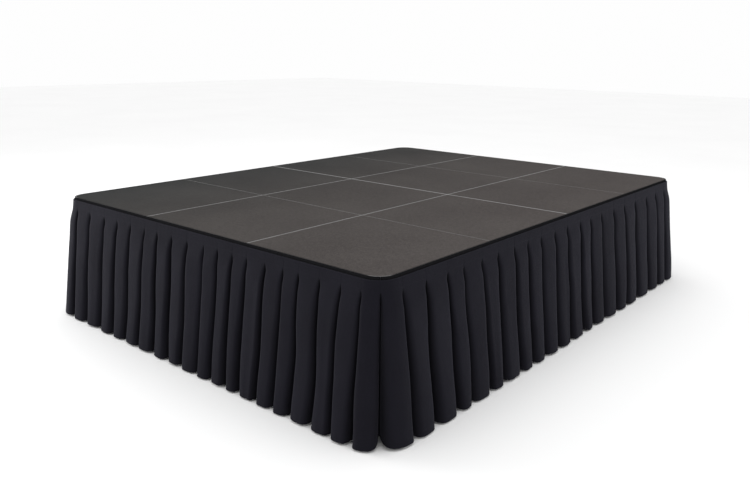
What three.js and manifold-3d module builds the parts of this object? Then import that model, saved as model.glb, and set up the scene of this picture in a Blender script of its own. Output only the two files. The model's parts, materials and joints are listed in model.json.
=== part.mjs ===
// Skirted stage riser platform, 9 ft x 12 ft x 32 in: six folding-leg deck units clamped side by
// side, each one a welded aluminium frame that carries two square boards, with a pleated skirt
// hung round the edge. Millimetres, +Z up, origin on the floor under the middle of the deck.
// X runs along the front, which is three units wide, and Y runs to the back, two units deep.
import * as THREE from 'three';
import { mergeVertices } from 'three/addons/utils/BufferGeometryUtils.js';
import Module from 'manifold-3d';

const wasm = await Module();
wasm.setup();

// Driving dimensions
const INCH = 25.4;
const DECK_HEIGHT = 32 * INCH;
const BOARD_PITCH = 36 * INCH;
const UNIT_WIDTH = BOARD_PITCH;
const UNIT_LENGTH = 2 * BOARD_PITCH;
const COLUMNS = 3;
const ROWS = 2;
const UNIT_GAP = 1.2;
const FIT_GAP = 0.4;
const CORNER_RADIUS = 100;
const CORNER_STEPS = 6;

// Deck unit
const FRAME_DEPTH = 3 * INCH;
const RAIL_WIDTH = 40;
const LIP = 4;
const FIN = 3;
const BOARD_THICKNESS = 19;
const SPINE_WIDTH = 64;
const CENTRE_BEARER = 50;
const QUARTER_BEARER = 30;

// Folding legs, hinged under the frame
const AXIS_DROP = 32;
const HINGE_INSET = 75;
const TUBE = 38;
const LEG_SPREAD = 381;
const CROSS_TUBE_DROP = 240;
const BRACE_PIVOT_DROP = 300;
const FOOT_SIZE = 52;
const FOOT_HEIGHT = 22;
const PIN_DIAMETER = 16;
const PIN_HOLE = 20;
const PIN_SIDES = 8;
const PIN_REACH = 11;
const BRACKET_WIDTH = 44;
const BRACKET_RISE = 46;

// Knee braces and the track that each brace's roller runs in
const BRACE_WIDTH = 24;
const BRACE_DEPTH = 16;
const BRACE_ANGLE = Math.PI / 4;
const EAR_THICKNESS = 6;
const EAR_GAP = 1;
const EAR_RADIUS = 14;
const BRACE_PIN = 10;
const BRACE_PIN_HOLE = 13;
const ROLLER_DIAMETER = 20;
const ROLLER_LENGTH = 44;
const TRACK_WALL = 6;
const TRACK_DEPTH = 44;
const TRACK_CLEARANCE = 12;

// Clamps that tie neighbouring frames together
const CLAMP_LENGTH = 80;
const CLAMP_BASE = 8;
const CLAMP_WALL = 6;
const CLAMP_RISE = 45;
const CLAMP_OFFSET = 240;
const KNOB_DIAMETER = 26;
const KNOB_HEIGHT = 16;
const HANDLE_SIZE = [72, 10, 10];

// Edge strip and skirt: points of (distance out from the deck edge, height)
const STRIP_HEIGHT = 50;
const STRIP_THICKNESS = 4;
const HEM_HEIGHT = 10;
const HEADER_DEPTH = 76;
const HEADER_LEDGE = 12; // height of deck edge left showing above the skirt
const MITRE_GAP = 0.6;
const SKIRT_PROFILE = [
  [STRIP_THICKNESS + 2 * FIT_GAP, DECK_HEIGHT - HEADER_LEDGE],
  [STRIP_THICKNESS + 2 * FIT_GAP, DECK_HEIGHT - HEADER_DEPTH],
  [75, HEM_HEIGHT],
  [145, HEM_HEIGHT],
  [50, DECK_HEIGHT - HEADER_DEPTH - 24],
  [30, DECK_HEIGHT - HEADER_LEDGE],
];

const FRAME_BOTTOM = DECK_HEIGHT - FRAME_DEPTH;
const HINGE_HEIGHT = FRAME_BOTTOM - AXIS_DROP;
const HALF_DECK_X = (COLUMNS * UNIT_WIDTH) / 2;
const HALF_DECK_Y = (ROWS * UNIT_LENGTH) / 2;
const HALF_UNIT_X = (UNIT_WIDTH - UNIT_GAP) / 2;
const HALF_UNIT_Y = (UNIT_LENGTH - UNIT_GAP) / 2;
const BRACE_LENGTH = BRACE_PIVOT_DROP / Math.sin(BRACE_ANGLE);
const FOLDED_TUBE_REACH = HINGE_INSET + CROSS_TUBE_DROP + TUBE / 2;
const TRACK_HALF_LENGTH = HALF_UNIT_Y - FOLDED_TUBE_REACH - TRACK_CLEARANCE;

function material(color, roughness, metalness) {
  return new THREE.MeshStandardMaterial({ color, roughness, metalness });
}

const MATERIALS = {
  aluminium: material(0xa9abad, 0.42, 0.9),
  steel: material(0x2b2d30, 0.5, 0.55),
  zinc: material(0x9ea3a6, 0.38, 0.85),
  board: material(0x3f3e3b, 0.88, 0),
  strip: material(0x141416, 0.95, 0),
  fabric: material(0x25252c, 0.92, 0),
};

// Solids and booleans
function solid(geometry) {
  const bare = geometry.clone();
  bare.deleteAttribute('normal');
  bare.deleteAttribute('uv');
  const merged = mergeVertices(bare, 1e-4);
  return new wasm.Manifold(new wasm.Mesh({
    numProp: 3,
    vertProperties: new Float32Array(merged.attributes.position.array),
    triVerts: new Uint32Array(merged.index.array),
  }));
}

function geometryOf(body) {
  const mesh = body.getMesh();
  const geometry = new THREE.BufferGeometry();
  geometry.setAttribute('position', new THREE.BufferAttribute(mesh.vertProperties, 3));
  geometry.setIndex(new THREE.BufferAttribute(mesh.triVerts, 1));
  const loose = geometry.toNonIndexed();
  loose.computeVertexNormals();
  return loose;
}

function joined(pieces) {
  return pieces.reduce((whole, piece) => whole.add(piece));
}

function block(low, high) {
  const size = high.map((value, axis) => value - low[axis]);
  const geometry = new THREE.BoxGeometry(...size);
  geometry.translate(...low.map((value, axis) => (value + high[axis]) / 2));
  return solid(geometry);
}

function bar(centre, size) {
  const low = centre.map((value, axis) => value - size[axis] / 2);
  const high = centre.map((value, axis) => value + size[axis] / 2);
  return block(low, high);
}

function rodAlongX(diameter, length, y, z, sides) {
  const geometry = new THREE.CylinderGeometry(diameter / 2, diameter / 2, length, sides);
  geometry.rotateZ(Math.PI / 2);
  geometry.translate(0, y, z);
  return solid(geometry);
}

// Plan outline of a deck unit, pulled in by inset, with the corner at (cornerX, cornerY) rounded
function unitOutline(inset, cornerX, cornerY) {
  const x = HALF_UNIT_X - inset;
  const y = HALF_UNIT_Y - inset;
  const radius = CORNER_RADIUS - inset;
  const points = [];
  for (const [sx, sy] of [[1, -1], [1, 1], [-1, 1], [-1, -1]]) {
    if (sx !== cornerX || sy !== cornerY) {
      points.push(new THREE.Vector2(sx * x, sy * y));
      continue;
    }
    const start = Math.atan2(sy, sx) - Math.PI / 4;
    for (let step = 0; step <= CORNER_STEPS; step += 1) {
      const angle = start + (step / CORNER_STEPS) * (Math.PI / 2);
      const px = sx * (x - radius) + radius * Math.cos(angle);
      const py = sy * (y - radius) + radius * Math.sin(angle);
      points.push(new THREE.Vector2(px, py));
    }
  }
  return new THREE.Shape(points);
}

function plate(outline, bottom, top) {
  const geometry = new THREE.ExtrudeGeometry(outline, { depth: top - bottom, bevelEnabled: false });
  geometry.translate(0, 0, bottom);
  return solid(geometry);
}

// The pocket that a board lies in, or the board itself with its fitting gap, in unit coordinates
function boardSolid(half, gap, cornerX, cornerY, top) {
  const outline = unitOutline(LIP + gap, cornerX, cornerY);
  const sheet = plate(outline, DECK_HEIGHT - BOARD_THICKNESS + gap, top);
  const inner = FIN / 2 + gap;
  const outer = HALF_UNIT_Y + 1;
  const low = half < 0 ? -outer : inner;
  const high = half < 0 ? -inner : outer;
  return sheet.intersect(block([-HALF_UNIT_X, low, 0], [HALF_UNIT_X, high, DECK_HEIGHT + 10]));
}

// Eight openings between the rails, the spine and the bearers of one frame
function frameBays() {
  const low = FRAME_BOTTOM - 1;
  const high = DECK_HEIGHT + 1;
  const quarter = UNIT_LENGTH / 4;
  const spans = [
    [CENTRE_BEARER / 2, quarter - QUARTER_BEARER / 2],
    [quarter + QUARTER_BEARER / 2, HALF_UNIT_Y - RAIL_WIDTH],
  ];
  const bays = [];
  for (const side of [-1, 1]) {
    const x = [side * (SPINE_WIDTH / 2), side * (HALF_UNIT_X - RAIL_WIDTH)].sort((a, b) => a - b);
    for (const end of [-1, 1]) {
      for (const span of spans) {
        const y = span.map((value) => end * value).sort((a, b) => a - b);
        bays.push(block([x[0], y[0], low], [x[1], y[1], high]));
      }
    }
  }
  return bays;
}

function hingeBracket(side, end) {
  const y = end * (HALF_UNIT_Y - HINGE_INSET);
  const inner = LEG_SPREAD + TUBE / 2 + 1;
  const outer = HALF_UNIT_X - RAIL_WIDTH + 1;
  const x = [side * inner, side * outer].sort((a, b) => a - b);
  const low = [x[0], y - BRACKET_WIDTH / 2, HINGE_HEIGHT - BRACKET_WIDTH / 2];
  const high = [x[1], y + BRACKET_WIDTH / 2, FRAME_BOTTOM + BRACKET_RISE];
  const hole = rodAlongX(PIN_HOLE, 2 * HALF_UNIT_X, y, HINGE_HEIGHT, PIN_SIDES);
  return block(low, high).subtract(hole);
}

function trackWall(side) {
  const inner = SPINE_WIDTH / 2 - TRACK_WALL;
  const x = [side * inner, side * (SPINE_WIDTH / 2)].sort((a, b) => a - b);
  const low = [x[0], -TRACK_HALF_LENGTH, FRAME_BOTTOM - TRACK_DEPTH];
  return block(low, [x[1], TRACK_HALF_LENGTH, FRAME_BOTTOM + 1]);
}

function deckFrame(cornerX, cornerY) {
  let frame = plate(unitOutline(0, cornerX, cornerY), FRAME_BOTTOM, DECK_HEIGHT);
  const pockets = [-1, 1].map((half) => boardSolid(half, 0, cornerX, cornerY, DECK_HEIGHT + 1));
  for (const cut of [...pockets, ...frameBays()]) {
    frame = frame.subtract(cut);
  }
  const brackets = [-1, 1].flatMap((side) => [-1, 1].map((end) => hingeBracket(side, end)));
  return geometryOf(joined([frame, trackWall(-1), trackWall(1), ...brackets]));
}

// Leg frame about its own hinge axis, standing, with the inside of the unit towards +Y
function legFrame() {
  const span = 2 * LEG_SPREAD;
  const pieces = [
    bar([0, 0, 0], [span, TUBE, TUBE]),
    bar([0, 0, -CROSS_TUBE_DROP], [span, TUBE, TUBE]),
    rodAlongX(PIN_DIAMETER, span + TUBE + 2 * PIN_REACH, 0, 0, PIN_SIDES),
  ];
  for (const side of [-1, 1]) {
    const x = side * LEG_SPREAD;
    const bottom = -HINGE_HEIGHT;
    pieces.push(block([x - TUBE / 2, -TUBE / 2, bottom + 1], [x + TUBE / 2, TUBE / 2, TUBE / 2]));
    pieces.push(bar([x, 0, bottom + FOOT_HEIGHT / 2], [FOOT_SIZE, FOOT_SIZE, FOOT_HEIGHT]));
    const inner = side * (BRACE_WIDTH / 2 + EAR_GAP);
    const outer = inner + side * EAR_THICKNESS;
    const ear = [Math.min(inner, outer), Math.max(inner, outer)];
    const reach = BRACE_PIVOT_DROP + EAR_RADIUS;
    pieces.push(block([ear[0], -EAR_RADIUS, -reach], [ear[1], EAR_RADIUS, -CROSS_TUBE_DROP]));
  }
  const hole = rodAlongX(BRACE_PIN_HOLE, 4 * BRACE_WIDTH, 0, -BRACE_PIVOT_DROP, PIN_SIDES);
  return joined(pieces).subtract(hole);
}

// Brace about its lower pivot, rising inward to the roller that runs in the track
function legBrace() {
  const arm = new THREE.BoxGeometry(BRACE_WIDTH, BRACE_LENGTH + EAR_RADIUS, BRACE_DEPTH);
  arm.translate(0, BRACE_LENGTH / 2, 0);
  const pinLength = BRACE_WIDTH + 2 * (EAR_GAP + EAR_THICKNESS) + 4;
  const lying = joined([
    solid(arm),
    rodAlongX(BRACE_PIN, pinLength, 0, 0, PIN_SIDES),
    rodAlongX(ROLLER_DIAMETER, ROLLER_LENGTH, BRACE_LENGTH, 0, PIN_SIDES),
  ]);
  return lying.rotate([THREE.MathUtils.radToDeg(BRACE_ANGLE), 0, 0]);
}

// Channel that grips the two rails on either side of a joint from below, with its T-handled screw
function unitClamp() {
  const halfGrip = RAIL_WIDTH + UNIT_GAP / 2 + FIT_GAP;
  const outer = halfGrip + CLAMP_WALL;
  const top = FRAME_BOTTOM - FIT_GAP;
  const bottom = top - CLAMP_BASE;
  const half = CLAMP_LENGTH / 2;
  const knob = new THREE.CylinderGeometry(KNOB_DIAMETER / 2, KNOB_DIAMETER / 2, KNOB_HEIGHT, 12);
  knob.rotateX(Math.PI / 2);
  knob.translate(0, 0, bottom + 1 - KNOB_HEIGHT / 2);
  const pieces = [
    block([-outer, -half, bottom], [outer, half, top]),
    solid(knob),
    bar([0, 0, bottom - KNOB_HEIGHT], HANDLE_SIZE),
  ];
  for (const side of [-1, 1]) {
    const x = [side * halfGrip, side * outer].sort((a, b) => a - b);
    pieces.push(block([x[0], -half, bottom], [x[1], half, top + CLAMP_RISE]));
  }
  return geometryOf(joined(pieces));
}

// A wall along one side of the deck and half-way round both of its corners. Each point of the
// profile is a distance out from the deck edge and a height, listed anticlockwise seen along +X
function sideWall(halfAlong, halfAcross, profile) {
  const steps = CORNER_STEPS / 2;
  const stations = [];
  for (const side of [-1, 1]) {
    const turns = [];
    for (let step = 0; step <= steps; step += 1) {
      const trim = step === steps ? MITRE_GAP / 2 / CORNER_RADIUS : 0;
      turns.push((step / steps) * (Math.PI / 4) - trim);
    }
    const ordered = side < 0 ? turns.reverse() : turns;
    ordered.forEach((turn) => stations.push([side, turn]));
  }
  const positions = [];
  const indices = [];
  const count = profile.length;
  for (const [side, turn] of stations) {
    for (const [out, height] of profile) {
      const radius = CORNER_RADIUS + out;
      const x = side * (halfAlong - CORNER_RADIUS + radius * Math.sin(turn));
      const y = -(halfAcross - CORNER_RADIUS + radius * Math.cos(turn));
      positions.push(x, y, height);
    }
  }
  for (let row = 0; row < stations.length - 1; row += 1) {
    for (let point = 0; point < count; point += 1) {
      const a = row * count + point;
      const b = row * count + ((point + 1) % count);
      indices.push(a, a + count, b, b, a + count, b + count);
    }
  }
  const last = (stations.length - 1) * count;
  for (let point = 1; point < count - 1; point += 1) {
    indices.push(0, point, point + 1);
    indices.push(last, last + point + 1, last + point);
  }
  const geometry = new THREE.BufferGeometry();
  geometry.setAttribute('position', new THREE.Float32BufferAttribute(positions, 3));
  geometry.setIndex(indices);
  const loose = geometry.toNonIndexed();
  loose.computeVertexNormals();
  return loose;
}

const stage = new THREE.Group();

function place(name, geometry, finish, x = 0, y = 0, z = 0, turn = 0) {
  const mesh = new THREE.Mesh(geometry, finish);
  mesh.name = name;
  mesh.position.set(x, y, z);
  mesh.rotation.z = turn;
  stage.add(mesh);
}

const frontRow = (row) => (row === 0 ? 'front' : 'back');
const columnName = ['left', 'middle', 'right'];
const legGeometry = geometryOf(legFrame());
const braceGeometry = geometryOf(legBrace());

for (let row = 0; row < ROWS; row += 1) {
  for (let column = 0; column < COLUMNS; column += 1) {
    const unit = `${frontRow(row)}_${columnName[column]}`;
    const x = (column - (COLUMNS - 1) / 2) * UNIT_WIDTH;
    const y = (row - (ROWS - 1) / 2) * UNIT_LENGTH;
    const cornerX = column - 1;
    const cornerY = row === 0 ? -1 : 1;
    place(`deck_frame_${unit}`, deckFrame(cornerX, cornerY), MATERIALS.aluminium, x, y);
    for (const end of [-1, 1]) {
      const board = boardSolid(end, FIT_GAP, cornerX, cornerY, DECK_HEIGHT);
      const where = end < 0 ? 'near' : 'far';
      place(`deck_board_${unit}_${where}`, geometryOf(board), MATERIALS.board, x, y);
      const hingeY = y + end * (HALF_UNIT_Y - HINGE_INSET);
      const turn = end < 0 ? 0 : Math.PI;
      const pivot = HINGE_HEIGHT - BRACE_PIVOT_DROP;
      place(`leg_frame_${unit}_${where}`, legGeometry, MATERIALS.steel, x, hingeY, HINGE_HEIGHT, turn);
      place(`leg_brace_${unit}_${where}`, braceGeometry, MATERIALS.zinc, x, hingeY, pivot, turn);
    }
  }
}

const clampGeometry = unitClamp();
for (let row = 0; row < ROWS; row += 1) {
  const y = (row - (ROWS - 1) / 2) * UNIT_LENGTH;
  const inward = row === 0 ? 1 : -1;
  for (const side of [-1, 1]) {
    const name = `unit_clamp_${frontRow(row)}_${side < 0 ? 'left' : 'right'}`;
    place(name, clampGeometry, MATERIALS.zinc, (side * UNIT_WIDTH) / 2, y + inward * CLAMP_OFFSET);
  }
}
for (let column = 0; column < COLUMNS; column += 1) {
  const x = (column - (COLUMNS - 1) / 2) * UNIT_WIDTH + CLAMP_OFFSET;
  place(`unit_clamp_centre_${columnName[column]}`, clampGeometry, MATERIALS.zinc, x, 0, 0, Math.PI / 2);
}

const STRIP_PROFILE = [
  [FIT_GAP, DECK_HEIGHT],
  [FIT_GAP, DECK_HEIGHT - STRIP_HEIGHT],
  [STRIP_THICKNESS, DECK_HEIGHT - STRIP_HEIGHT],
  [STRIP_THICKNESS, DECK_HEIGHT],
];
const SIDES = [
  ['front', HALF_DECK_X, HALF_DECK_Y, 0],
  ['right', HALF_DECK_Y, HALF_DECK_X, Math.PI / 2],
  ['back', HALF_DECK_X, HALF_DECK_Y, Math.PI],
  ['left', HALF_DECK_Y, HALF_DECK_X, -Math.PI / 2],
];
for (const [name, along, across, turn] of SIDES) {
  place(`edge_strip_${name}`, sideWall(along, across, STRIP_PROFILE), MATERIALS.strip, 0, 0, 0, turn);
  place(`skirt_${name}`, sideWall(along, across, SKIRT_PROFILE), MATERIALS.fabric, 0, 0, 0, turn);
}

export default stage;
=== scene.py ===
import json
import math
import random

import bpy
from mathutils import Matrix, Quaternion, Vector, noise


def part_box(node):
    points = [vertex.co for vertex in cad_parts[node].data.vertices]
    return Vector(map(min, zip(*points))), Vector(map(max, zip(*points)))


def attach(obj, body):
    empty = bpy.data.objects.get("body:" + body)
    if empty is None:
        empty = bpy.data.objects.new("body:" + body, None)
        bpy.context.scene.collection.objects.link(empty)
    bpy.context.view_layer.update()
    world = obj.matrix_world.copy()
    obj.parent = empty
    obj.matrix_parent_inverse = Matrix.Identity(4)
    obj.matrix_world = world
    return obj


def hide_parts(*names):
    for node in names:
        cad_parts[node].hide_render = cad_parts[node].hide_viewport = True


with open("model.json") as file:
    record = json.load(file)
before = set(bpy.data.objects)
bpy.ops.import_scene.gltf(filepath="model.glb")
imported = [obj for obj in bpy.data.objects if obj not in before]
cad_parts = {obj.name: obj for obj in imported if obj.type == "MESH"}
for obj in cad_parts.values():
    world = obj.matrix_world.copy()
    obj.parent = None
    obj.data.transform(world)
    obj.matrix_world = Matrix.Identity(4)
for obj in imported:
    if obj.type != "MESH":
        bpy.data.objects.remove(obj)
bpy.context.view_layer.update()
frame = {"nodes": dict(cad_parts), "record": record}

# Skirted stage riser: cloth, boards, metalwork and studio, in metres, in the CAD frame.

MM = 0.001
BODIES = frame["record"]["behaviour"]["bodies"]
NODES = list(frame["nodes"])
PIVOTS = {joint["name"]: Vector(joint["pos_m"]) for joint in frame["record"]["behaviour"]["joints"]}

# ---------------------------------------------------------------- driving sizes
DECK_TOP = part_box("deck_board_front_left_near")[1].z
HALF_DECK = Vector((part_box("deck_frame_front_right")[1].x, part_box("deck_frame_back_right")[1].y))
DECK_CORNER = 100 * MM
# Width of the painted shade on the frames' outer lip.
EDGE_SHADE_WIDTH = 5 * MM

SKIRT_DROP = DECK_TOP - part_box("skirt_front")[0].z
HEM_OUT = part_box("skirt_right")[1].x - HALF_DECK.x
HEADER = 66 * MM
CLOTH_THICKNESS = 1.4 * MM
FULLNESS = 1.8
LEDGE = 14 * MM
STITCHING = [DECK_TOP - 64 * MM, DECK_TOP - SKIRT_DROP + 26 * MM]
SEEDS = {"front": 11, "right": 23, "back": 37, "left": 41}
TURNS = {"front": 0, "right": 1, "back": 2, "left": 3}

PLEATS = {"front": 20, "right": 21, "back": 20, "left": 21}
CROWDING = {"front": -0.155, "right": 0.155, "back": 0.0, "left": 0.0}   # pleats narrow to the front right
PLEAT_STEPS = 22
PLEAT_ROWS = 40
SQUARE_TOP, SQUARE_HEM = 6.0, 3.9
MOUTH = 0.08
FLAP_POINTS = 4
HEADER_OUT = 24                       # these four in mm
PLEAT_BULGE = 11
PLEAT_DEPTH = 26
PLEAT_SPREAD = 72                     # extra depth gained by the hem
HEM_CLEARANCE = 9                     # mm the pleat fronts stay inside the skirt's outer limit
SEAM_OUT = 14 * MM                    # where the cloth's run round a corner is measured
END_PLEAT = 0.75
WIDTH_SPREAD = 0.16
LEAN, TILT, HEM_SPREAD = 14, 6, 3     # mm

BRACKET_FACE = 417.6 * MM
EAR_FACE = 19 * MM
HINGE_NUT_SIZE = 1.0
BRACE_NUT_SIZE = 0.55                 # clears the brace track when the leg is folded
FOOT_TOP = 21.5 * MM
ROLLER_DEEP = 26 * MM
BRACE_HALF = 12.5 * MM


# ---------------------------------------------------------------- small helpers
def deselect():
    if bpy.context.object and bpy.context.object.mode != "OBJECT":
        bpy.ops.object.mode_set(mode="OBJECT")
    bpy.ops.object.select_all(action="DESELECT")


def pick(obj):
    deselect()
    obj.select_set(True)
    bpy.context.view_layer.objects.active = obj


def edit(obj):
    pick(obj)
    bpy.ops.object.mode_set(mode="EDIT")
    bpy.ops.mesh.select_all(action="SELECT")


def smooth(obj, degrees=35):
    pick(obj)
    bpy.ops.object.shade_smooth_by_angle(angle=math.radians(degrees))


def modifier(obj, kind, name, **values):
    pick(obj)
    made = obj.modifiers.new(name, kind)
    for key, value in values.items():
        setattr(made, key, value)
    bpy.ops.object.modifier_apply(modifier=made.name)


def finish_with(obj, material):
    obj.data.materials.clear()
    obj.data.materials.append(material)


def body_of_node(node):
    return next(body for body, members in BODIES.items() if node in members)


def dressed(node, name, bevel, segments=2, degrees=28):
    """A fine-edged copy of a CAD node, which it stands for."""
    piece = bpy.data.objects.new(name, frame["nodes"][node].data.copy())
    bpy.context.scene.collection.objects.link(piece)
    edit(piece)
    bpy.ops.mesh.remove_doubles(threshold=0.02 * MM)
    bpy.ops.mesh.dissolve_limited(angle_limit=math.radians(1))
    bpy.ops.object.mode_set(mode="OBJECT")
    modifier(piece, "BEVEL", "edges", width=bevel, segments=segments, limit_method="ANGLE",
             angle_limit=math.radians(degrees), harden_normals=False)
    smooth(piece)
    modifier(piece, "WEIGHTED_NORMAL", "flat faces", keep_sharp=True)
    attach(piece, body_of_node(node))
    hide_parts(node)
    return piece


# ---------------------------------------------------------------- node helpers
def group_tree(name, inputs, outputs):
    tree = bpy.data.node_groups.new(name, "ShaderNodeTree")
    for label, kind, value in inputs:
        socket = tree.interface.new_socket(label, in_out="INPUT", socket_type="NodeSocket" + kind)
        if value is not None:
            socket.default_value = value
    for label, kind in outputs:
        tree.interface.new_socket(label, in_out="OUTPUT", socket_type="NodeSocket" + kind)
    return tree, tree.nodes.new("NodeGroupInput"), tree.nodes.new("NodeGroupOutput")


def node(tree, kind, links=None, **values):
    """Adds a shader node. links maps its input sockets to values or to other sockets."""
    made = tree.nodes.new("ShaderNode" + kind)
    for key, value in values.items():
        setattr(made, key, value)
    for key, value in (links or {}).items():
        if isinstance(value, bpy.types.NodeSocket):
            tree.links.new(value, made.inputs[key])
        else:
            made.inputs[key].default_value = value
    return made


def maths(tree, operation, a, b=0.0, c=0.0):
    return node(tree, "Math", {0: a, 1: b, 2: c}, operation=operation).outputs[0]


def ramp(tree, factor, stops):
    made = node(tree, "ValToRGB", {"Fac": factor})
    line = made.color_ramp
    while len(line.elements) < len(stops):
        line.elements.new(0.5)
    for element, (place, colour) in zip(line.elements, stops):
        element.position = place
        shade = colour if hasattr(colour, "__len__") else (colour, colour, colour)
        element.color = (*shade, 1)
    return made.outputs["Color"]


def mixed(tree, factor, a, b, blend="MIX"):
    made = node(tree, "Mix", {0: factor}, data_type="RGBA", blend_type=blend)
    for index, value in ((6, a), (7, b)):
        if isinstance(value, bpy.types.NodeSocket):
            tree.links.new(value, made.inputs[index])
        else:
            made.inputs[index].default_value = (*value, 1)
    return made.outputs[2]


def weave_group():
    """Plain weave on a cloth's own UV map, which is in metres of cut cloth."""
    tree, start, end = group_tree(
        "plain_weave",
        [("Vector", "Vector", None), ("Threads", "Float", 900.0)],
        [("Height", "Float"), ("Shade", "Float")],
    )
    parts = node(tree, "SeparateXYZ", {0: start.outputs["Vector"]})
    waves = []
    for axis in ("X", "Y"):
        turns = maths(tree, "MULTIPLY", parts.outputs[axis], start.outputs["Threads"])
        wave = maths(tree, "SINE", maths(tree, "MULTIPLY", turns, math.pi))
        waves.append((turns, maths(tree, "ABSOLUTE", wave)))
    cells = maths(tree, "ADD", maths(tree, "FLOOR", waves[0][0]), maths(tree, "FLOOR", waves[1][0]))
    over = maths(tree, "PINGPONG", cells, 1.0)
    lifted = maths(tree, "MULTIPLY", waves[0][1], over)
    under = maths(tree, "MULTIPLY", waves[1][1], maths(tree, "SUBTRACT", 1.0, over))
    height = maths(tree, "ADD", lifted, under)
    slub = node(tree, "TexNoise", {"Vector": start.outputs["Vector"], "Scale": 90.0, "Detail": 3.0})
    tree.links.new(height, end.inputs["Height"])
    tree.links.new(maths(tree, "MULTIPLY_ADD", slub.outputs["Fac"], 0.35, 0.82), end.inputs["Shade"])
    return tree


def wear_group():
    """Broad soft blotches, fine grain and upward-facing dust on object coordinates."""
    tree, start, end = group_tree(
        "wear",
        [("Scale", "Float", 6.0), ("Dust", "Float", 0.3)],
        [("Blotch", "Float"), ("Grain", "Float"), ("Dust", "Float")],
    )
    place = node(tree, "TexCoord").outputs["Object"]
    blotch = node(tree, "TexNoise", {"Vector": place, "Scale": start.outputs["Scale"], "Detail": 4.0,
                                     "Roughness": 0.55})
    grain = node(tree, "TexNoise", {"Vector": place, "Scale": 420.0, "Detail": 2.0})
    up = node(tree, "SeparateXYZ", {0: node(tree, "NewGeometry").outputs["Normal"]}).outputs["Z"]
    settled = maths(tree, "MULTIPLY", maths(tree, "MAXIMUM", up, 0.0), blotch.outputs["Fac"])
    tree.links.new(blotch.outputs["Fac"], end.inputs["Blotch"])
    tree.links.new(grain.outputs["Fac"], end.inputs["Grain"])
    tree.links.new(maths(tree, "MULTIPLY", settled, start.outputs["Dust"]), end.inputs["Dust"])
    return tree


WEAVE = weave_group()
WEAR = wear_group()


def use_group(tree, group, links=None):
    made = tree.nodes.new("ShaderNodeGroup")
    made.node_tree = group
    for key, value in (links or {}).items():
        if isinstance(value, bpy.types.NodeSocket):
            tree.links.new(value, made.inputs[key])
        else:
            made.inputs[key].default_value = value
    return made


def new_material(name, **constants):
    material = bpy.data.materials.new(name)
    material.use_nodes = True
    shader = material.node_tree.nodes["Principled BSDF"]
    for key, value in constants.items():
        shader.inputs[key.replace("_", " ")].default_value = value
    return material, material.node_tree, shader


def bump_into(tree, shader, height, strength, distance):
    made = node(tree, "Bump", {"Height": height, "Strength": strength, "Distance": distance})
    tree.links.new(made.outputs["Normal"], shader.inputs["Normal"])
    return made


# ---------------------------------------------------------------- materials
def skirt_cloth():
    """Matt black polyester: fine plain weave, soft sheen, faint blue cast, a little lint, and painted shade
    darkening the pleat gaps.
    """
    material, tree, shader = new_material("skirt_cloth", Roughness=0.85, Sheen_Weight=0.065,
                                          Sheen_Roughness=0.4, Specular_IOR_Level=0.09)
    shader.inputs["Sheen Tint"].default_value = (0.58, 0.58, 0.74, 1)
    uv = node(tree, "UVMap", uv_map="cloth").outputs["UV"]
    weave = use_group(tree, WEAVE, {"Vector": uv, "Threads": 850.0})
    wear = use_group(tree, WEAR, {"Scale": 3.2, "Dust": 0.0})
    tone = ramp(tree, wear.outputs["Blotch"], [(0.3, (0.0067, 0.0063, 0.0098)),
                                               (0.72, (0.0089, 0.0085, 0.0132))])
    # Painted shade: the fold attribute, 1 at the bottom of each pleat gap, darkens the cloth there down to
    # 0.22 of its tone.
    fold = node(tree, "Attribute", attribute_name="fold").outputs["Fac"]
    painted_shading = ramp(tree, fold, [(0.03, 1.0), (0.2, 0.7), (0.6, 0.22)])
    mottled_and_gap_shaded = mixed(tree, 1.0, tone, painted_shading, blend="MULTIPLY")
    cloth = mixed(tree, 1.0, mottled_and_gap_shaded, weave.outputs["Shade"], blend="MULTIPLY")
    lint = node(tree, "TexNoise", {"Vector": uv, "Scale": 260.0, "Detail": 1.0})
    specks = ramp(tree, lint.outputs["Fac"], [(0.74, 0.0), (0.8, 1.0)])
    tree.links.new(mixed(tree, maths(tree, "MULTIPLY", specks, 0.12), cloth, (0.16, 0.155, 0.16)),
                   shader.inputs["Base Color"])
    crumple = node(tree, "TexNoise", {"Vector": uv, "Scale": 14.0, "Detail": 5.0, "Roughness": 0.6})
    height = maths(tree, "MULTIPLY_ADD", crumple.outputs["Fac"], 6.0,
                   maths(tree, "MULTIPLY", weave.outputs["Height"], 0.35))
    place = node(tree, "SeparateXYZ", {0: uv})
    stitches = maths(tree, "FRACT", maths(tree, "MULTIPLY", place.outputs["X"], 250.0))
    stitch = maths(tree, "GREATER_THAN", stitches, 0.3)
    for line in STITCHING:
        across = maths(tree, "ABSOLUTE", maths(tree, "SUBTRACT", place.outputs["Y"], line))
        row = maths(tree, "LESS_THAN", across, 1.2 * MM)
        height = maths(tree, "MULTIPLY_ADD", maths(tree, "MULTIPLY", row, stitch), -3.0, height)
    bump_into(tree, shader, height, 0.35, 0.0012)
    return material


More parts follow.
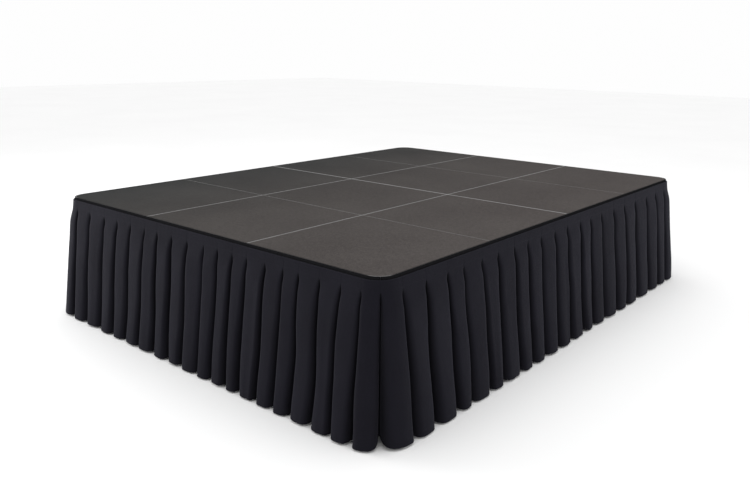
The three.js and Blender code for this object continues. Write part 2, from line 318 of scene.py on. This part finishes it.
def deck_facing():
    """Dark grey non-slip facing: fine pile and pale flecks over a warm grey with painted shading, darker and
    cooler to the left and lighter and warmer to the right.
    """
    material, tree, shader = new_material("deck_facing", Roughness=0.92, Specular_IOR_Level=0.06)
    place = node(tree, "TexCoord").outputs["Object"]
    wear = use_group(tree, WEAR, {"Scale": 1.4, "Dust": 0.25})
    parts = node(tree, "SeparateXYZ", {0: place})
    # Painted shading: the base grey runs from dark and cool at -X to lighter and warmer at +X, standing in
    # for how the light falls across the deck.
    along = maths(tree, "MULTIPLY", parts.outputs["Y"], 0.02)
    across = maths(tree, "MULTIPLY_ADD", parts.outputs["X"], 0.3, along)
    painted_shading = ramp(tree, maths(tree, "ADD", across, 0.5), [(0.05, (0.0120, 0.0140, 0.0150)),
                                                         (0.45, (0.0445, 0.0395, 0.0380)),
                                                         (0.95, (0.0600, 0.0515, 0.0495))])
    patch = ramp(tree, wear.outputs["Blotch"], [(0.3, 0.93), (0.7, 1.07)])
    scuff = node(tree, "TexNoise", {"Vector": place, "Scale": 55.0, "Detail": 3.0, "Roughness": 0.8})
    mottle = ramp(tree, scuff.outputs["Fac"], [(0.35, 0.82), (0.65, 1.2)])
    tone = mixed(tree, 1.0, mixed(tree, 1.0, painted_shading, patch, blend="MULTIPLY"), mottle, blend="MULTIPLY")
    pile = node(tree, "TexNoise", {"Vector": place, "Scale": 160.0, "Detail": 6.0, "Roughness": 0.75})
    shade = ramp(tree, pile.outputs["Fac"], [(0.3, 0.45), (0.52, 0.95), (0.75, 1.75)])
    facing = mixed(tree, 1.0, tone, shade, blend="MULTIPLY")
    flecks = node(tree, "TexVoronoi", {"Vector": place, "Scale": 210.0, "Randomness": 1.0})
    bright = ramp(tree, flecks.outputs["Distance"], [(0.06, 1.0), (0.16, 0.0)])
    thin = ramp(tree, pile.outputs["Fac"], [(0.5, 0.0), (0.62, 1.0)])
    dotted = mixed(tree, maths(tree, "MULTIPLY", maths(tree, "MULTIPLY", bright, thin), 0.5), facing,
                   (0.2, 0.195, 0.185))
    dusty = mixed(tree, wear.outputs["Dust"], dotted, (0.11, 0.105, 0.098))
    tree.links.new(dusty, shader.inputs["Base Color"])
    bump_into(tree, shader, pile.outputs["Fac"], 0.6, 0.0011)
    return material


def ply_edge():
    """Cut plywood showing on the edge and underside of a board."""
    material, tree, shader = new_material("ply_edge", Roughness=0.7)
    place = node(tree, "TexCoord").outputs["Object"]
    stretched = node(tree, "Mapping", {"Vector": place, "Scale": (1.5, 26.0, 330.0)}).outputs[0]
    grain = node(tree, "TexNoise", {"Vector": stretched, "Scale": 1.0, "Detail": 6.0, "Distortion": 0.6})
    tone = ramp(tree, grain.outputs["Fac"], [(0.3, (0.2, 0.115, 0.06)), (0.6, (0.42, 0.27, 0.15)),
                                             (0.8, (0.52, 0.37, 0.22))])
    tree.links.new(tone, shader.inputs["Base Color"])
    bump_into(tree, shader, grain.outputs["Fac"], 0.3, 0.0006)
    return material


def brushed_aluminium():
    """Mill-finish extrusion with fine drawing lines, dulled in blotches."""
    material, tree, shader = new_material("brushed_aluminium", Metallic=1.0)
    place = node(tree, "TexCoord").outputs["Object"]
    wear = use_group(tree, WEAR, {"Scale": 7.0, "Dust": 0.35})
    drawn = node(tree, "Mapping", {"Vector": place, "Scale": (4.0, 4.0, 900.0)}).outputs[0]
    lines = node(tree, "TexNoise", {"Vector": drawn, "Scale": 1.0, "Detail": 3.0})
    tone = ramp(tree, wear.outputs["Blotch"], [(0.3, (0.47, 0.475, 0.485)), (0.7, (0.66, 0.665, 0.67))])
    dull = mixed(tree, wear.outputs["Dust"], tone, (0.33, 0.32, 0.3))
    parts = node(tree, "SeparateXYZ", {0: place})
    # The top faces are mixed towards near-black, less within 12 mm of the middle seam, so that seam shows
    # lighter than the others.
    top = maths(tree, "GREATER_THAN", parts.outputs["Z"], DECK_TOP - 1 * MM)
    middle = maths(tree, "LESS_THAN", maths(tree, "ABSOLUTE", parts.outputs["Y"]), 12 * MM)
    darkened_tops = maths(tree, "MULTIPLY", top, maths(tree, "MULTIPLY_ADD", middle, -0.25, 0.72))
    tree.links.new(mixed(tree, darkened_tops, dull, (0.07, 0.068, 0.065)), shader.inputs["Base Color"])
    tree.links.new(maths(tree, "MULTIPLY_ADD", wear.outputs["Blotch"], 0.25, 0.3), shader.inputs["Roughness"])
    bump_into(tree, shader, lines.outputs["Fac"], 0.15, 0.0004)
    return material


def powder_coat():
    """Black powder coat on steel tube: orange-peel skin, rubbed grey in places."""
    material, tree, shader = new_material("powder_coat", Metallic=0.0, Coat_Weight=0.12, Coat_Roughness=0.3)
    place = node(tree, "TexCoord").outputs["Object"]
    wear = use_group(tree, WEAR, {"Scale": 9.0, "Dust": 0.25})
    peel = node(tree, "TexNoise", {"Vector": place, "Scale": 650.0, "Detail": 1.0})
    rubbed = ramp(tree, wear.outputs["Blotch"], [(0.62, 0.0), (0.78, 1.0)])
    tone = mixed(tree, maths(tree, "MULTIPLY", rubbed, 0.3), (0.018, 0.0185, 0.02), (0.09, 0.09, 0.095))
    tree.links.new(mixed(tree, wear.outputs["Dust"], tone, (0.12, 0.115, 0.105)), shader.inputs["Base Color"])
    tree.links.new(maths(tree, "MULTIPLY_ADD", wear.outputs["Grain"], 0.2, 0.36), shader.inputs["Roughness"])
    bump_into(tree, shader, peel.outputs["Fac"], 0.25, 0.0005)
    return material


def zinc_plate():
    """Bright zinc plate with a crystalline bloom and faint straw tint."""
    material, tree, shader = new_material("zinc_plate", Metallic=1.0)
    place = node(tree, "TexCoord").outputs["Object"]
    wear = use_group(tree, WEAR, {"Scale": 22.0, "Dust": 0.2})
    spangle = node(tree, "TexVoronoi", {"Vector": place, "Scale": 120.0})
    tone = mixed(tree, maths(tree, "MULTIPLY", spangle.outputs["Distance"], 0.6), (0.62, 0.63, 0.62),
                 (0.5, 0.49, 0.42))
    tree.links.new(mixed(tree, wear.outputs["Dust"], tone, (0.3, 0.28, 0.25)), shader.inputs["Base Color"])
    tree.links.new(maths(tree, "MULTIPLY_ADD", wear.outputs["Blotch"], 0.3, 0.2), shader.inputs["Roughness"])
    bump_into(tree, shader, wear.outputs["Grain"], 0.12, 0.0004)
    return material


def black_rubber():
    material, tree, shader = new_material("black_rubber", Specular_IOR_Level=0.35)
    wear = use_group(tree, WEAR, {"Scale": 30.0, "Dust": 0.5})
    tone = mixed(tree, wear.outputs["Dust"], (0.016, 0.016, 0.017), (0.11, 0.105, 0.1))
    tree.links.new(tone, shader.inputs["Base Color"])
    tree.links.new(maths(tree, "MULTIPLY_ADD", wear.outputs["Grain"], 0.25, 0.6), shader.inputs["Roughness"])
    bump_into(tree, shader, wear.outputs["Grain"], 0.3, 0.0006)
    return material


def loop_tape():
    """Black loop pile of the hook-and-loop strip."""
    material, tree, shader = new_material("loop_tape", Roughness=0.97, Specular_IOR_Level=0.02)
    place = node(tree, "TexCoord").outputs["Object"]
    loops = node(tree, "TexVoronoi", {"Vector": place, "Scale": 700.0})
    tone = ramp(tree, loops.outputs["Distance"], [(0.1, (0.020, 0.020, 0.022)), (0.6, (0.007, 0.007, 0.008))])
    tree.links.new(tone, shader.inputs["Base Color"])
    bump_into(tree, shader, loops.outputs["Distance"], 0.7, 0.001)
    return material


def nylon():
    """Off-white nylon of the brace rollers, greyed by use."""
    material, tree, shader = new_material("nylon", Specular_IOR_Level=0.4)
    wear = use_group(tree, WEAR, {"Scale": 40.0, "Dust": 0.4})
    tone = ramp(tree, wear.outputs["Blotch"], [(0.35, (0.42, 0.41, 0.38)), (0.65, (0.62, 0.61, 0.57))])
    tree.links.new(mixed(tree, wear.outputs["Dust"], tone, (0.2, 0.19, 0.17)), shader.inputs["Base Color"])
    tree.links.new(maths(tree, "MULTIPLY_ADD", wear.outputs["Grain"], 0.2, 0.4), shader.inputs["Roughness"])
    bump_into(tree, shader, wear.outputs["Grain"], 0.2, 0.0004)
    return material


CLOTH = skirt_cloth()
FACING = deck_facing()
PLY = ply_edge()
ALUMINIUM = brushed_aluminium()
COAT = powder_coat()
ZINC = zinc_plate()
RUBBER = black_rubber()
TAPE = loop_tape()
NYLON = nylon()


# ---------------------------------------------------------------- skirt
def eased(value):
    value = min(max(value, 0.0), 1.0)
    return value * value * (3 - 2 * value)


def drop_rows():
    """(distance out, height, share of the pleat's fall) down the cloth from its hidden top edge."""
    roll = [(5.6, 30), (5.8, 12), (6.6, 4), (9.5, 1.0), (13.5, 1.2), (16.5, 4), (18.0, 10), (18.8, 20)]
    rows = [(out * MM, DECK_TOP - LEDGE - down * MM, 0.0) for out, down in roll]
    left = HEADER - LEDGE - 20 * MM
    rows += [((19.0 + 1.2 * k) * MM, DECK_TOP - LEDGE - 20 * MM - left * k / 4, 0.0) for k in range(1, 5)]
    fall = SKIRT_DROP - HEADER
    for k in range(1, PLEAT_ROWS + 1):
        share = (k / PLEAT_ROWS) ** 1.25
        rows.append((HEADER_OUT * MM, DECK_TOP - HEADER - fall * share, share))
    return rows


def pleat_depth(share):
    opening = eased(share / 0.07)
    return (PLEAT_DEPTH * opening + PLEAT_SPREAD * share) * MM


def face_out(share):
    """How far the pleat fronts stand out from the deck edge."""
    bulge = eased(share / 0.14)
    flare = HEM_OUT / MM - HEADER_OUT - PLEAT_BULGE - HEM_CLEARANCE
    return (HEADER_OUT + PLEAT_BULGE * bulge + flare * share) * MM


def flap(share, height):
    """The end of the cloth tucked behind the next skirt at a corner, below the edge strip."""
    clear = eased((DECK_TOP - height - 62 * MM) / (45 * MM))
    reach = (2 + 62 * clear) * MM
    out = face_out(share) - pleat_depth(share) - 9 * MM * clear
    return [(-reach * (FLAP_POINTS - k) / FLAP_POINTS, out) for k in range(FLAP_POINTS)]


def waver(seed, index, height, size):
    """A slow sideways drift of one fold line with height."""
    return noise.noise(Vector((seed * 5.3 + index * 3.7, height * 3.1, 0.5))) * size


def cross_section(make, share, height):
    """(along, out, pleat, fullness, corner) for one level of the skirt, before it is bent round corners."""
    header = share == 0.0
    widths, leans, tilts, depths, mouths, creases, seed = make
    total = len(widths)
    points = [(along, out, 0, 0.0, 1.0) for along, out in flap(share, height)]
    base_gap = (0.8 + 2.0 * share) * MM
    opened = 0.35 * eased(share / 0.06) + 0.65 * share ** 0.7
    squareness = SQUARE_TOP + (SQUARE_HEM - SQUARE_TOP) * share ** 0.8
    start = 0.0
    for index, width in enumerate(widths):
        last = index == total - 1
        wave = 16 * MM * eased(share * 2.5)
        low, high = start, start + width
        if index:
            low += leans[index] * share + waver(seed, index, height, wave)
        if not last:
            high += leans[index + 1] * share + waver(seed, index + 1, height, wave)
        front_gap = 0.8 * MM + MOUTH * width * opened * mouths[index]
        crease_at, crease_deep = creases[index]
        depth = 0.8 * MM if header else pleat_depth(share) * depths[index]
        middle, half = (low + high) / 2, (high - low) / 2
        for step in range(PLEAT_STEPS + 1):
            angle = math.pi * (0.5 - 0.5 * math.cos(math.pi * step / PLEAT_STEPS))
            at_corner = (index == 0 and step < PLEAT_STEPS / 2) or (last and step > PLEAT_STEPS / 2)
            power = 2 / (squareness - 1.0 * share if at_corner else squareness)
            across = -math.copysign(abs(math.cos(angle)) ** power, math.cos(angle))
            full = abs(math.sin(angle)) ** power
            dent = math.exp(-((across - crease_at) / 0.16) ** 2) * crease_deep * eased(share * 3) * full
            tilted = tilts[index] * across * full * eased(share * 4)
            out = face_out(share) - depth * (1 - full) + tilted - dent
            corner = max(0.0, -across) if index == 0 else max(0.0, across) if last else 0.0
            gap = base_gap + (front_gap - base_gap) * full
            points.append((middle + across * (half - gap), out, index, full, corner))
        start += width
    return points


def bend(along, out, half_along, half_across, reach):
    """Lays a point at (along, out) on the rounded outline of the deck's front edge."""
    straight = half_along - DECK_CORNER
    arc = reach
    side = -1 if along < arc else 1
    if arc <= along <= arc + 2 * straight:
        return along - arc - straight, -(half_across + out)
    extra = arc - along if side < 0 else along - arc - 2 * straight
    turn = extra / arc * (math.pi / 4)
    radius = DECK_CORNER + out
    x = side * (straight + radius * math.sin(turn))
    return x, -(half_across - DECK_CORNER + radius * math.cos(turn))


def skirt(name):
    """One pleated skirt, from the 45-degree line of one corner to that of the next."""
    random.seed(SEEDS[name])
    turn = TURNS[name]
    half_along, half_across = (HALF_DECK.x, HALF_DECK.y) if turn % 2 == 0 else (HALF_DECK.y, HALF_DECK.x)
    reach = (DECK_CORNER + SEAM_OUT) * math.pi / 4
    length = 2 * (half_along - DECK_CORNER) + 2 * reach
    count = PLEATS[name]
    raw = [1 + random.uniform(-WIDTH_SPREAD, WIDTH_SPREAD) for _ in range(count)]
    raw[0] = raw[-1] = END_PLEAT
    raw = [value * (1 + CROWDING[name] * (2 * index / (count - 1) - 1)) for index, value in enumerate(raw)]
    widths = [length * value / sum(raw) for value in raw]
    leans = [random.uniform(-LEAN, LEAN) * MM for _ in range(count + 1)]
    tilts = [random.uniform(-TILT, TILT) * MM for _ in range(count)]
    depths = [random.uniform(0.85, 1.15) for _ in range(count)]
    hems = [random.uniform(-HEM_SPREAD, HEM_SPREAD) * MM for _ in range(count)]
    mouths = [random.uniform(0.6, 1.5) for _ in range(count)]
    creases = [(random.uniform(-0.55, 0.55), max(0.0, random.uniform(-5, 9)) * MM)
               for _ in range(count)]
    make = (widths, leans, tilts, depths, mouths, creases, turn)
    vertices, faces, uvs, gap_shade_mask = [], [], [], []
    rows = drop_rows()
    travelled = 0.0
    for level, (out_here, height, share) in enumerate(rows):
        points = cross_section(make, share, height)
        ring = len(points)
        if level:
            travelled += max(rows[level - 1][1] - height, 4 * MM)
        loose = eased(share * 3)
        for along, out, index, full, corner in points:
            if share == 0.0:
                out += out_here - face_out(0.0)
            ripple = noise.noise(Vector((along * 2.1 + turn * 17.0, height * 3.0, full)))
            crease = noise.noise(Vector((along * 24.0, height * 11.0 + turn * 9.0, 1.5)))
            pinch = eased(share * 30) * (1 - eased(share * 5 - 0.35))
            out += (ripple * 6 * loose + crease * (1.2 * loose + 2.4 * pinch)) * MM
            x, y = bend(along, out, half_along, half_across, reach)
            lift = (1 - full) * (11 + 18 * corner)
            z = height + (hems[index] + lift * MM) * share ** 3
            spot = Vector((x, y, z))
            for _ in range(turn):
                spot = Vector((-spot.y, spot.x, spot.z))
            vertices.append(spot)
            uvs.append((along * FULLNESS, DECK_TOP - travelled))
            # Depth into the pleat gaps, which the cloth material turns into painted shade.
            gap_shade_mask.append((1 - full) * eased(share * 40))
    for level in range(len(rows) - 1):
        for position in range(ring - 1):
            a = level * ring + position
            faces.append((a, a + ring, a + ring + 1, a + 1))
    mesh = bpy.data.meshes.new("skirt_cloth_" + name)
    mesh.from_pydata(vertices, [], faces)
    layer = mesh.uv_layers.new(name="cloth")
    for loop in mesh.loops:
        layer.data[loop.index].uv = uvs[loop.vertex_index]
    shaded = mesh.color_attributes.new(name="fold", type="FLOAT_COLOR", domain="POINT")
    for index, fold in enumerate(gap_shade_mask):
        shaded.data[index].color = (fold, fold, fold, 1)
    piece = bpy.data.objects.new("skirt_cloth_" + name, mesh)
    bpy.context.scene.collection.objects.link(piece)
    modifier(piece, "SOLIDIFY", "cloth", thickness=CLOTH_THICKNESS, offset=-1.0, use_even_offset=False)
    smooth(piece, 60)
    finish_with(piece, CLOTH)
    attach(piece, "stage")
    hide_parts("skirt_" + name)
    return piece


# ---------------------------------------------------------------- boards and metalwork
def board(node):
    piece = dressed(node, node + "_faced", 0.9 * MM)
    finish_with(piece, FACING)
    piece.data.materials.append(PLY)
    for face in piece.data.polygons:
        if face.center.z < DECK_TOP - 2.2 * MM:
            face.material_index = 1


def paint_edge_shade(piece):
    """Paints the outer lip of a frame's top face with the black tape finish: painted shade that widens the
    dark line along the deck edge.
    """
    edit(piece)
    for axis, half in ((0, HALF_DECK.x - EDGE_SHADE_WIDTH), (1, HALF_DECK.y - EDGE_SHADE_WIDTH)):
        for side in (-1, 1):
            place, across = [0.0, 0.0, 0.0], [0.0, 0.0, 0.0]
            place[axis], across[axis] = side * half, 1.0
            bpy.ops.mesh.select_all(action="SELECT")
            bpy.ops.mesh.bisect(plane_co=place, plane_no=across)
    bpy.ops.object.mode_set(mode="OBJECT")
    # Painted shade: the aluminium lip takes the black loop-tape finish.
    piece.data.materials.append(TAPE)
    for face in piece.data.polygons:
        past = [max(abs(face.center[axis]) - HALF_DECK[axis] + DECK_CORNER, 0.0) for axis in (0, 1)]
        if face.center.z > DECK_TOP - 14 * MM and math.hypot(*past) > DECK_CORNER - EDGE_SHADE_WIDTH:
            face.material_index = 1


def dress(prefix, label, bevel, material, segments=2):
    for node in NODES:
        if node.startswith(prefix):
            piece = dressed(node, node + label, bevel, segments)
            finish_with(piece, material)
            if material is ALUMINIUM:
                paint_edge_shade(piece)


def middle_of(node):
    low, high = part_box(node)
    return (low + high) / 2


def tint_faces(piece, material, chosen):
    """Gives the faces whose middle passes the test a second material."""
    piece.data.materials.append(material)
    for face in piece.data.polygons:
        if chosen(face.center):
            face.material_index = len(piece.data.materials) - 1


def dress_legs(prefix, label, bevel, material, second, chosen):
    """Dresses the first leg part and repeats it at the others, turned end for end where they face back."""
    members = [node for node in NODES if node.startswith(prefix)]
    first = members[0]
    master = dressed(first, first + label, bevel)
    finish_with(master, material)
    tint_faces(master, second, chosen)
    for node in members[1:]:
        piece = bpy.data.objects.new(node + label, master.data.copy())
        bpy.context.scene.collection.objects.link(piece)
        edit(piece)
        if node.rsplit("_", 1)[1] != first.rsplit("_", 1)[1]:
            bpy.ops.transform.rotate(value=math.pi, orient_axis="Z", center_override=middle_of(first))
        bpy.ops.transform.translate(value=middle_of(node) - middle_of(first))
        bpy.ops.object.mode_set(mode="OBJECT")
        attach(piece, body_of_node(node))
        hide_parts(node)


def nut():
    """A hex nut on a washer with the end of its bolt showing, along X from its seat at the origin."""
    deselect()
    parts = []
    for label, sides, radius, depth, start in (("washer", 24, 13.5, 2.0, 0.0), ("hex", 6, 11.0, 6.4, 1.8),
                                               ("thread", 16, 5.6, 3.0, 7.4)):
        middle = (start + depth / 2) * MM
        bpy.ops.mesh.primitive_cylinder_add(vertices=sides, radius=radius * MM, depth=depth * MM,
                                            location=(middle, 0, 0), rotation=(0, math.pi / 2, 0))
        part = bpy.context.object
        part.name = label
        bpy.ops.object.transform_apply(location=True, rotation=True, scale=True)
        modifier(part, "BEVEL", "edges", width=0.7 * MM, segments=2, limit_method="ANGLE")
        parts.append(part)
    deselect()
    for part in parts:
        part.select_set(True)
    bpy.context.view_layer.objects.active = parts[1]
    bpy.ops.object.join()
    whole = bpy.context.object
    smooth(whole)
    finish_with(whole, ZINC)
    return whole


def fasten(master, name, seat, side, size, body):
    """A copy of the nut seated at a point and facing along +X or -X."""
    piece = bpy.data.objects.new(name, master.data.copy())
    bpy.context.scene.collection.objects.link(piece)
    edit(piece)
    bpy.ops.transform.resize(value=(size, size, size), center_override=(0, 0, 0))
    if side < 0:
        bpy.ops.transform.rotate(value=math.pi, orient_axis="Z", center_override=(0, 0, 0))
    bpy.ops.transform.translate(value=seat)
    bpy.ops.object.mode_set(mode="OBJECT")
    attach(piece, body)


def fasteners():
    master = nut()
    for joint, point in PIVOTS.items():
        where = joint.split("_", 1)[1] if joint.startswith("fold") else joint.split("_", 2)[2]
        for side, label in ((-1, "a"), (1, "b")):
            if joint.startswith("fold"):
                seat = point + Vector((side * BRACKET_FACE, 0, 0))
                fasten(master, f"hinge_nut_{where}_{label}", seat, side, HINGE_NUT_SIZE, "stage")
            else:
                seat = point + Vector((side * EAR_FACE, 0, 0))
                fasten(master, f"brace_nut_{where}_{label}", seat, side, BRACE_NUT_SIZE, f"leg_{where}")
    bpy.data.objects.remove(master)


for side in PLEATS:
    skirt(side)
for node_name in NODES:
    if node_name.startswith("deck_board"):
        board(node_name)
dress("deck_frame", "_welded", 0.7 * MM, ALUMINIUM, 1)
dress_legs("leg_frame", "_tube", 2.5 * MM, COAT, RUBBER, lambda at: at.z < FOOT_TOP)
FIRST_BRACE = next(name for name in NODES if name.startswith("leg_brace"))
ROLLER_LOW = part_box(FIRST_BRACE)[1].z - ROLLER_DEEP
dress_legs("leg_brace", "_bar", 1.2 * MM, ZINC, NYLON,
           lambda at: at.z > ROLLER_LOW and abs(at.x - middle_of(FIRST_BRACE).x) > BRACE_HALF)
dress("unit_clamp", "_pressed", 1.2 * MM, ZINC)
dress("edge_strip", "_tape", 0.6 * MM, TAPE, 1)
fasteners()


# ---------------------------------------------------------------- studio
def floor():
    bpy.ops.mesh.primitive_plane_add(size=60, location=(0, 0, -0.5 * MM))
    plane = bpy.context.object
    plane.name = "studio_floor"
    material, tree, shader = new_material("studio_floor", Roughness=0.9)
    place = node(tree, "TexCoord").outputs["Object"]
    cloud = node(tree, "TexNoise", {"Vector": place, "Scale": 0.6, "Detail": 2.0})
    tone = ramp(tree, cloud.outputs["Fac"], [(0.3, 0.945), (0.7, 0.965)])
    tree.links.new(tone, shader.inputs["Base Color"])
    below = node(tree, "NewGeometry").outputs["Backfacing"]
    tree.links.new(maths(tree, "SUBTRACT", 1.0, below), shader.inputs["Alpha"])
    finish_with(plane, material)


def area_light(name, place, aim, size, power):
    lamp = bpy.data.lights.new(name, "AREA")
    lamp.shape = "RECTANGLE"
    lamp.size, lamp.size_y = size
    lamp.energy = power
    made = bpy.data.objects.new(name, lamp)
    bpy.context.scene.collection.objects.link(made)
    made.location = place
    made.rotation_mode = "QUATERNION"
    made.rotation_quaternion = (Vector(aim) - Vector(place)).to_track_quat("-Z", "Y")


def studio():
    world = bpy.data.worlds.new("studio")
    bpy.context.scene.world = world
    world.use_nodes = True
    sky = world.node_tree.nodes["Background"]
    sky.inputs["Color"].default_value = (1, 1, 1, 1)
    sky.inputs["Strength"].default_value = 0.99
    area_light("overhead", (0.5, -0.5, 6), (0, 0, 0), (6, 6), 100)
    area_light("left_bank", (-6.5, -4.5, 2.6), (0, -1, 0.4), (3, 2), 210)
    area_light("right_bank", (6.5, 4.5, 2.6), (1, 0, 0.4), (3, 2), 10)
    bpy.context.scene.view_settings.view_transform = "Standard"


def camera():
    azimuth, elevation, roll = math.radians(40.08), math.radians(15.43), math.radians(0.75)
    back = Vector((math.sin(azimuth) * math.cos(elevation), -math.cos(azimuth) * math.cos(elevation),
                   math.sin(elevation)))
    lens = bpy.data.cameras.new("camera")
    lens.sensor_width = 36
    lens.lens = 34.9
    made = bpy.data.objects.new("camera", lens)
    bpy.context.scene.collection.objects.link(made)
    made.location = (3.324, -4.195, 1.794)
    made.rotation_mode = "QUATERNION"
    made.rotation_quaternion = (-back).to_track_quat("-Z", "Y") @ Quaternion((0, 0, 1), roll)
    bpy.context.scene.camera = made


floor()
studio()
camera()
